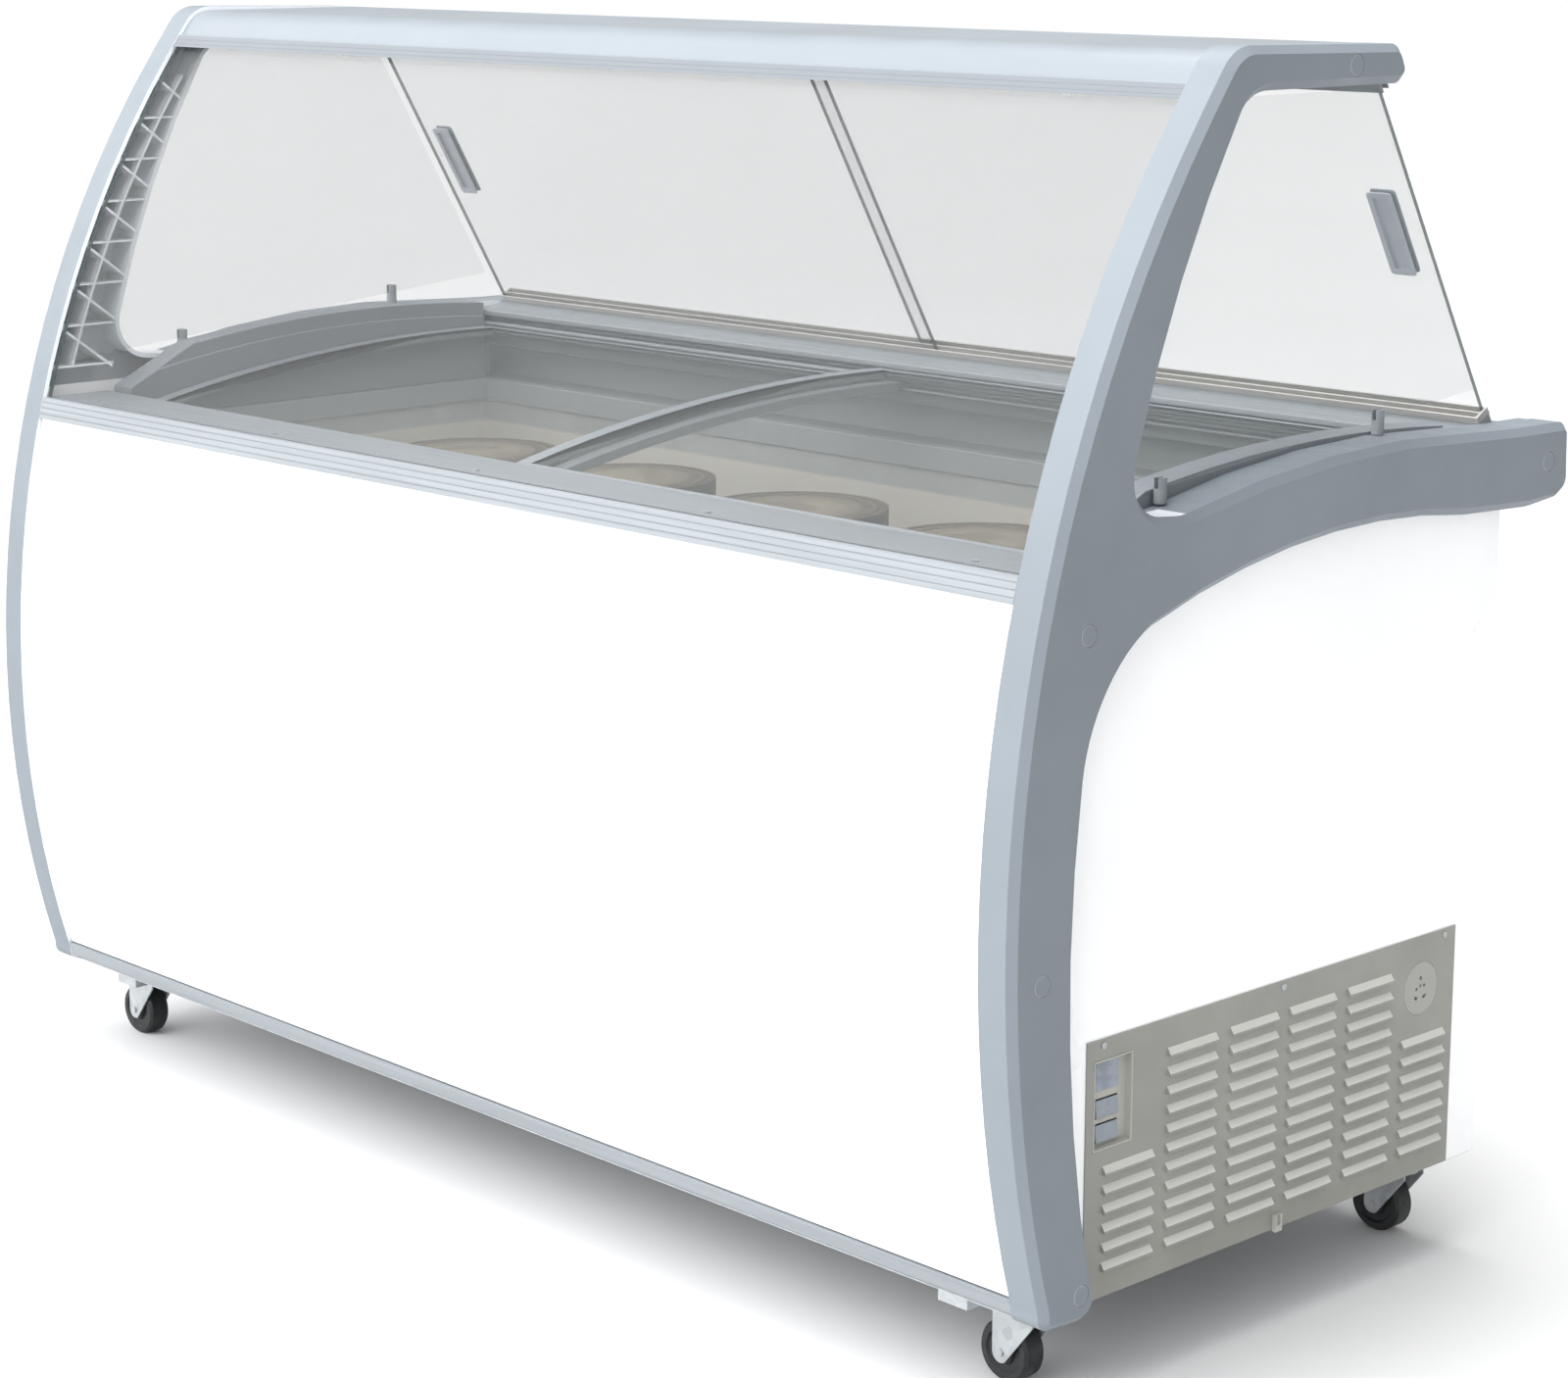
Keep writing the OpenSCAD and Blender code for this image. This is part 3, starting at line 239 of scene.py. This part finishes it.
def glazing(name, colour, alpha, rough, gloss=0.5):
    """Thin clear glass: a plain see-through shader whose gloss breaks up a little in smears."""
    s = Shader(name, colour, rough, IOR=1.5, Specular_IOR_Level=gloss)
    s.bsdf.inputs["Alpha"].default_value = alpha
    s.sheen_drift(rough, rough + 0.06, 5)
    s.bump(s.noise(3.2, 2), 0.00007)
    return s.mat


def spangled():
    """Hot-dip zinc: flat crystals that each catch the light their own way."""
    s = Shader("galvanised", (0.40, 0.42, 0.43), 0.42, 0.5)
    crystal = s.cells(95, out="Color")
    grey = s.node("ShaderNodeRGBToBW")
    s.wire(crystal, grey.inputs[0])
    s.paint(s.mix(grey.outputs[0], (0.34, 0.36, 0.375), (0.46, 0.48, 0.49)))
    s.wire(s.spread(grey.outputs[0], 0.1, 0.9, 0.32, 0.54), s.bsdf.inputs["Roughness"])
    return s.bump(s.noise(130, 4), 0.00008).mat


def liner(cream_z=0.745):
    """Coated liner: a fine embossed skin, cream below cream_z, with a breath of frost above."""
    grey = (0.40, 0.415, 0.405)
    s = Shader("tank_liner", grey, 0.42, 0.0, Coat_Weight=0.1, Coat_Roughness=0.3)
    frost = s.maths(
        "MULTIPLY", s.spread(s.axis("Z"), 0.60, 0.80), s.spread(s.noise(26, 8, 0.7), 0.42, 0.66)
    )
    cream = s.spread(s.axis("Z"), cream_z + 0.003, cream_z - 0.003)
    skin = s.mix(cream, s.tone(0.04, 3), (0.66, 0.62, 0.55))
    s.paint(s.mix(s.maths("MULTIPLY", frost, 0.3), skin, (0.66, 0.68, 0.69)))
    s.sheen_drift(0.36, 0.54, 9)
    s.bump(s.cells(260, "SMOOTH_F1"), 0.00006)
    return s.bump(s.maths("MULTIPLY", frost, s.noise(500, 3)), 0.0001).mat


def insulating_foam(seal_z=0.793):
    """Rigid foam with open cells, sealed by a grey skin above seal_z."""
    s = Shader("foam", (0.74, 0.72, 0.64), 0.85)
    sealed = s.spread(s.axis("Z"), seal_z - 0.003, seal_z + 0.003)
    s.paint(s.mix(sealed, s.tone(0.12, 22, 6), (0.30, 0.315, 0.315)))
    s.sheen_drift(0.75, 0.95, 30)
    s.bump(s.cells(900), 0.0004)
    return s.bump(s.noise(60, 6), 0.001).mat


def copper():
    """Drawn copper tube with patches of brown tarnish."""
    s = Shader("copper_tube", (0.70, 0.36, 0.22), 0.3, 1.0)
    tarnish = s.spread(s.noise(32, 7, 0.7), 0.45, 0.72)
    s.paint(s.mix(tarnish, (0.72, 0.38, 0.24), (0.34, 0.19, 0.13)))
    s.sheen_drift(0.22, 0.5, 32)
    return s.bump(s.noise(260, 4), 0.00008).mat


def powder_coat():
    """Grille paint: a warm grey textured powder coat with paler dust patches, darker towards the
    bottom, and painted light: faces that look up are painted much paler, standing in for light from
    above.
    """
    base = (0.262, 0.263, 0.238)
    s = Shader("grille_paint", base, 0.48, 0.0, Specular_IOR_Level=0.45)
    dust = s.spread(s.noise(18, 6, 0.7), 0.52, 0.78)
    # darker towards the bottom: below z 0.20 the coat blends towards a darker grey, fully at 0.10
    low = s.spread(s.axis("Z"), 0.20, 0.10)
    darker_low = s.mix(s.maths("MULTIPLY", low, 0.22), s.tone(0.06, 7), (0.20, 0.19, 0.165))
    # painted light: faces that look up are painted much paler, standing in for light falling from
    # above
    painted_top_light = s.maths("MULTIPLY", s.spread(s.facing("Z"), 0.2, 0.55), 0.75)
    worn = s.mix(s.maths("MULTIPLY", dust, 0.35), darker_low, (0.29, 0.288, 0.262))
    s.paint(s.mix(painted_top_light, worn, (0.62, 0.615, 0.58)))
    s.sheen_drift(0.4, 0.58, 24)
    s.bump(s.cells(1100), 0.00006)
    return s.bump(s.noise(420, 3), 0.00005).mat


def screen_glass():
    """The thermostat's dark window, with a fine mesh of unlit segments behind it."""
    s = Shader("display_black", (0.17, 0.20, 0.25), 0.16, 0.0, Coat_Weight=0.6, Coat_Roughness=0.05)
    band = s.spread(s.noise(60, 3, 0.5, (1, 1, 2)), 0.4, 0.6)
    s.paint(s.mix(band, (0.15, 0.18, 0.225), (0.21, 0.245, 0.30)))
    s.sheen_drift(0.1, 0.24, 60)
    return s.bump(s.cells(1800, "SMOOTH_F1"), 0.00002).mat


def diffuser():
    """Frosted lamp cover with fine ribs, which glows a little."""
    s = Shader("lamp", (0.92, 0.93, 0.92), 0.4, Emission_Strength=0.25)
    s.bsdf.inputs["Emission Color"].default_value = (1, 0.98, 0.94, 1)
    s.paint(s.tone(0.02, 8))
    s.sheen_drift(0.34, 0.5, 20)
    return s.bump(s.noise(300, 2, 0.5, (0.05, 1, 1)), 0.0002).mat


def enamel():
    """Glossy black enamel with patches of grey dust."""
    s = Shader("compressor_black", (0.018, 0.019, 0.02), 0.26, 0.0, Coat_Weight=0.5)
    dust = s.spread(s.noise(14, 7, 0.7), 0.5, 0.8)
    s.paint(s.mix(s.maths("MULTIPLY", dust, 0.5), (0.017, 0.018, 0.02), (0.09, 0.085, 0.078)))
    s.sheen_drift(0.18, 0.46, 14)
    return s.bump(s.noise(170, 3), 0.0002).mat


def tyre():
    """Hard black tread with a paler, dusty running surface."""
    s = Shader("wheel_rubber", (0.012, 0.013, 0.014), 0.5)
    dust = s.spread(s.noise(85, 6, 0.7), 0.5, 0.78)
    s.paint(s.mix(s.maths("MULTIPLY", dust, 0.3), (0.006, 0.007, 0.008), (0.05, 0.047, 0.043)))
    s.sheen_drift(0.38, 0.64, 60)
    return s.bump(s.noise(640, 4), 0.0001).mat


def tub_distance(s, pitch=0.286, y_mid=-0.012):
    """How far a point is from the axis of its own tub, for a row of tubs pitch metres apart."""
    across = s.maths("SUBTRACT", s.maths("FLOORED_MODULO", s.axis("X"), pitch), pitch / 2)
    back = s.maths("SUBTRACT", s.axis("Y"), y_mid)
    square = s.maths("ADD", s.maths("MULTIPLY", across, across), s.maths("MULTIPLY", back, back))
    return s.maths("SQRT", square)


LINE_BLUR = 0.00025  # half the width over which a printed line fades out


def tub_lid_board():
    """Printed card lid: a brown field, a paler centre disc, and thin pale rings and swirls."""
    s = Shader("tub_lid", (0.105, 0.072, 0.042), 0.6)
    away = tub_distance(s)
    fibre = s.tone(0.10, 120, 6)
    disc = s.spread(away, 0.0762, 0.0748)
    field = s.mix(disc, fibre, (0.215, 0.175, 0.120))

    def circle_line(radius, half_width):
        off = s.maths("ABSOLUTE", s.maths("SUBTRACT", away, radius))
        return s.spread(off, half_width + LINE_BLUR, half_width - LINE_BLUR)

    ring = circle_line(0.0895, 0.00085)
    core = circle_line(0.052, 0.0014)
    swirl = s.spread(s.noise(14, 1, 0.4), 0.49, 0.51)
    inner = s.maths("MULTIPLY", s.spread(away, 0.0485, 0.0475), swirl)
    marks = s.maths("MAXIMUM", ring, s.maths("MAXIMUM", core, s.maths("MULTIPLY", inner, 0.55)))
    s.paint(s.mix(s.maths("MULTIPLY", marks, 0.8), field, (0.40, 0.34, 0.25)))
    s.sheen_drift(0.5, 0.7, 50)
    return s.bump(s.noise(900, 4), 0.00006).mat


def card():
    """Brown card with its fibres lying round the tub."""
    s = Shader("tub_paper", (0.42, 0.37, 0.29), 0.7)
    s.paint(s.tone(0.08, 90, 6, (1, 1, 0.3)))
    s.sheen_drift(0.6, 0.8, 40)
    return s.bump(s.noise(700, 4, 0.6, (1, 1, 0.3)), 0.00008).mat


MATERIALS = {
    "white_panel": painted("white_panel", (0.90, 0.91, 0.915)),
    "frame_moulding": moulded("frame_moulding", (0.180, 0.204, 0.227), 0.44),
    # The frames' inner pocket and its ribs are painted pale partly as painted light, standing in
    # for light inside the pocket
    "frame_inside_painted_light": moulded("frame_inside_painted_light", (0.60, 0.625, 0.66), 0.5),
    "frame_ribs_painted_light": moulded("frame_ribs_painted_light", (0.80, 0.83, 0.86), 0.5),
    # painted highlight: the caps' rounded rims are painted paler
    "cap_rim_painted_highlight": moulded("cap_rim_painted_highlight", (0.36, 0.39, 0.42), 0.3),
    "alu_profile": brushed("alu_profile", (0.225, 0.245, 0.262), 0.42, 0.1),
    "canopy_metal": canopy_paint(),
    "galvanised": spangled(),
    "tank_liner": liner(),
    "collar_plastic": moulded("collar_plastic", (0.33, 0.35, 0.352), 0.5),
    "foam": insulating_foam(),
    "copper_tube": copper(),
    "dark_rim": moulded("dark_rim", (0.195, 0.212, 0.232), 0.45),
    "grille_paint": powder_coat(),
    "track_plastic": brushed("track_plastic", (0.34, 0.33, 0.315), 0.42, 0.0),
    "bezel_plastic": moulded("bezel_plastic", (0.38, 0.375, 0.345), 0.4),
    "display_black": screen_glass(),
    "switch_plastic": moulded("switch_plastic", (0.25, 0.28, 0.32), 0.32, 2200),
    "socket_plastic": moulded("socket_plastic", (0.33, 0.33, 0.305), 0.42),
    "glass": glazing("glass", (0.30, 0.34, 0.33), 0.09, 0.04),
    "glass_tinted": glazing("glass_tinted", (0.085, 0.09, 0.09), 0.17, 0.05),
    "glass_lid": glazing("glass_lid", (0.25, 0.28, 0.28), 0.11, 0.05, 0.3),
    "glass_edge": glazing("glass_edge", (0.075, 0.10, 0.10), 0.9, 0.2),
    "lamp": diffuser(),
    "compressor_black": enamel(),
    "black_plastic": moulded("black_plastic", (0.022, 0.023, 0.025), 0.46),
    "rack_wire": painted("rack_wire", (0.74, 0.75, 0.75), 0.3, 700, 0.00005),
    "tub_paper": card(),
    "tub_lid": tub_lid_board(),
    "wheel_rubber": tyre(),
    "handle_grey": moulded("handle_grey", (0.34, 0.36, 0.40), 0.36, 1800),
}


# ---------- refined copies of the CAD nodes ----------

FLAT_ANGLE = math.radians(1)
EDGE_ANGLE = math.radians(30)
SHARP_ANGLE = math.radians(34)
WELD = 1e-6


def refined(node, width):
    """Stands for a CAD node: the same solid, flats cleaned up, edges rounded by width in mm."""
    source = NODES[node]
    mesh = bpy.data.meshes.new(node + "_finish")
    bm = bmesh.new()
    bm.from_mesh(source.data)
    bmesh.ops.remove_doubles(bm, verts=bm.verts, dist=WELD)
    bmesh.ops.dissolve_limit(
        bm, angle_limit=FLAT_ANGLE, verts=bm.verts, edges=bm.edges, delimit={"NORMAL"}
    )
    if width:
        joined = [e for e in bm.edges if len(e.link_faces) == 2]
        sharp = [e for e in joined if e.calc_face_angle(0) > EDGE_ANGLE]
        bmesh.ops.bevel(
            bm,
            geom=sharp,
            offset=width * MM,
            offset_type="OFFSET",
            segments=2,
            profile=0.5,
            affect="EDGES",
            clamp_overlap=True,
            loop_slide=True,
        )
    bmesh.ops.remove_doubles(bm, verts=bm.verts, dist=WELD)
    for face in bm.faces:
        face.smooth = True
    bm.to_mesh(mesh)
    bm.free()
    mesh.set_sharp_from_angle(angle=SHARP_ANGLE)
    piece = bpy.data.objects.new(node + "_finish", mesh)
    bpy.context.scene.collection.objects.link(piece)
    mesh.materials.append(MATERIALS[SLOT_OF[node]])
    weighted = piece.modifiers.new("weighted", "WEIGHTED_NORMAL")
    weighted.keep_sharp = True
    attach(piece, BODY_OF[node])
    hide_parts(node)
    return piece


for name, node_object in NODES.items():
    node_object.data.materials.clear()
    node_object.data.materials.append(MATERIALS[SLOT_OF[name]])

# A face whose unit normal has more than this along an axis looks mostly, or squarely, that way
MOSTLY = 0.5
SQUARELY = 0.9


def green_ends(pane):
    """The ends of a pane, cut across X, show the green of the glass."""
    pane.data.materials.append(MATERIALS["glass_edge"])
    for polygon in pane.data.polygons:
        if abs(polygon.normal.x) > MOSTLY:
            polygon.material_index = 1


PANES = {
    "front_glass": "glass_tinted", "side_glass": "glass",
    "door_glass_left": "glass", "door_glass_right": "glass",
    "lid_glass_left": "glass_lid", "lid_glass_right": "glass_lid",
}
for name, look in PANES.items():
    pane = refined(name, 0)
    pane.data.materials[0] = MATERIALS[look]
    if name != "side_glass":
        green_ends(pane)

# Rounding of the edges, in mm
ROUNDED = {
    "outer_casing": 1.5, "front_panel": 1.0, "base_runners": 1.2, "bottom_trim": 0.8,
    "front_rail": 1.0, "side_rims": 1.2, "rear_counter": 2.0,
    "left_side_frame": 1.6, "right_side_frame": 1.6, "frame_caps": 1.1,
    "canopy_fascia": 0.9, "canopy_top": 0.8, "canopy_underside": 0.6, "tank_collar": 1.0,
    "door_handle_left": 1.5, "door_handle_right": 1.5, "upper_door_track": 0.6,
    "lower_door_track": 0.5, "lid_frame_left": 1.0, "lid_frame_right": 1.0,
    "control_bezel": 0.8, "power_switch": 0.5, "light_switch": 0.5, "tub_lids": 1.0,
}
for name, width in ROUNDED.items():
    refined(name, width)

# Side frames: the hollow back with its ribs is bare moulding, paler than the painted outside, and
# its paleness is partly painted light standing in for light inside the pocket; the ribs' tops are
# painted paler still, as painted light
FLOOR_X = 0.84  # the pocket's floor lies outside this, and the ribs' tops inside it
SKIN_X = 0.857  # nothing beyond this is in the pocket
REACH = 0.26  # a face in the pocket has another one opposite, no farther than this
LIFT = 0.0004  # how far off its face a ray starts
for side in ("left", "right"):
    piece = bpy.data.objects[side + "_side_frame_finish"]
    piece.data.materials.append(MATERIALS["frame_inside_painted_light"])
    piece.data.materials.append(MATERIALS["frame_ribs_painted_light"])
    tree = BVHTree.FromPolygons(
        [v.co for v in piece.data.vertices], [p.vertices for p in piece.data.polygons]
    )
    inward = -1 if side == "right" else 1
    for polygon in piece.data.polygons:
        across = polygon.normal.x * inward
        start = polygon.center + polygon.normal * LIFT
        if across > MOSTLY:
            polygon.material_index = 1 if abs(polygon.center.x) > FLOOR_X else 2
        elif abs(across) < MOSTLY and abs(polygon.center.x) < SKIN_X:
            if tree.ray_cast(start, polygon.normal, REACH)[0]:
                polygon.material_index = 1

# The casing's top edge and its rear wall's inner face, above the tank's collar, are lined like it
INNER_Y = 0.3
EDGE_Z = 0.8
casing = bpy.data.objects["outer_casing_finish"]
casing.data.materials.append(MATERIALS["collar_plastic"])
for polygon in casing.data.polygons:
    inner_face = polygon.normal.y < -SQUARELY and polygon.center.y > INNER_Y
    top_edge = polygon.normal.z > MOSTLY and polygon.center.z > EDGE_Z
    if inner_face or top_edge:
        polygon.material_index = 1

# Caps: the rounded rim between the flat face and the wall is painted as a paler ring, a painted
# highlight
RIM_NORMALS = (0.15, 0.97)
caps = bpy.data.objects["frame_caps_finish"]
caps.data.materials.append(MATERIALS["cap_rim_painted_highlight"])
for polygon in caps.data.polygons:
    if RIM_NORMALS[0] < abs(polygon.normal.x) < RIM_NORMALS[1]:
        polygon.material_index = 1


# ---------- floor, light ----------

FLOOR_HALF = 160
corners = [(x * FLOOR_HALF, y * FLOOR_HALF, 0) for x, y in ((-1, -1), (1, -1), (1, 1), (-1, 1))]
floor_mesh = bpy.data.meshes.new("floor")
floor_mesh.from_pydata(corners, [], [(0, 1, 2, 3)])
floor = bpy.data.objects.new("floor", floor_mesh)
bpy.context.scene.collection.objects.link(floor)
floor_look = Shader("floor", (0.665, 0.665, 0.665), 0.8, Specular_IOR_Level=0.2)
floor_look.paint(floor_look.tone(0.01, 1.2))
floor_mesh.materials.append(floor_look.mat)


def studio_world(base, lobe, aim, backdrop, rim=0.15):
    """A pale room with one broad soft window.

    Its light rises smoothly from base, where the cosine of the angle to aim is rim, to base plus
    lobe at aim. Looked at directly, its walls are plain: they all have the strength backdrop.
    """
    world = bpy.data.worlds.new("studio")
    world.use_nodes = True
    tree = world.node_tree
    background = tree.nodes["Background"]
    background.inputs[0].default_value = (0.985, 0.99, 1.0, 1)
    direction = tree.nodes.new("ShaderNodeTexCoord").outputs["Generated"]
    dot = tree.nodes.new("ShaderNodeVectorMath")
    dot.operation = "DOT_PRODUCT"
    dot.inputs[1].default_value = Vector(aim).normalized()
    tree.links.new(direction, dot.inputs[0])
    rise = tree.nodes.new("ShaderNodeMapRange")
    rise.interpolation_type = "SMOOTHSTEP"
    for socket, number in zip(list(rise.inputs)[1:5], (rim, 1.0, base, base + lobe)):
        socket.default_value = number
    tree.links.new(dot.outputs["Value"], rise.inputs[0])
    seen = tree.nodes.new("ShaderNodeLightPath").outputs["Is Camera Ray"]
    walls = tree.nodes.new("ShaderNodeMix")
    factor, _, lit, plain = list(walls.inputs)[:4]
    plain.default_value = backdrop
    tree.links.new(seen, factor)
    tree.links.new(rise.outputs[0], lit)
    tree.links.new(walls.outputs[0], background.inputs[1])
    bpy.context.scene.world = world


studio_world(base=0.50, lobe=3.1, aim=(-0.30, -0.82, 0.50), backdrop=0.96)


def soft_light(name, place, aim, size, power):
    """A rectangular lamp at place that looks at aim, size metres wide and high, in watts."""
    data = bpy.data.lights.new(name, "AREA")
    data.shape = "RECTANGLE"
    data.size, data.size_y = size
    data.energy = power
    made = bpy.data.objects.new(name, data)
    bpy.context.scene.collection.objects.link(made)
    made.location = place
    made.rotation_euler = (Vector(aim) - Vector(place)).to_track_quat("-Z", "Y").to_euler()


soft_light("key", (-0.7, -4.8, 3.7), (0, 0, 0.8), (3.2, 2.6), 90)
soft_light("top", (0.2, 0.2, 4.2), (0, 0, 0.8), (3.2, 2.4), 150)
soft_light("cabinet_lamp", (0, -0.06, 1.243), (0, -0.06, 0.5), (1.4, 0.2), 3.3)

bpy.context.scene.view_settings.view_transform = "Standard"
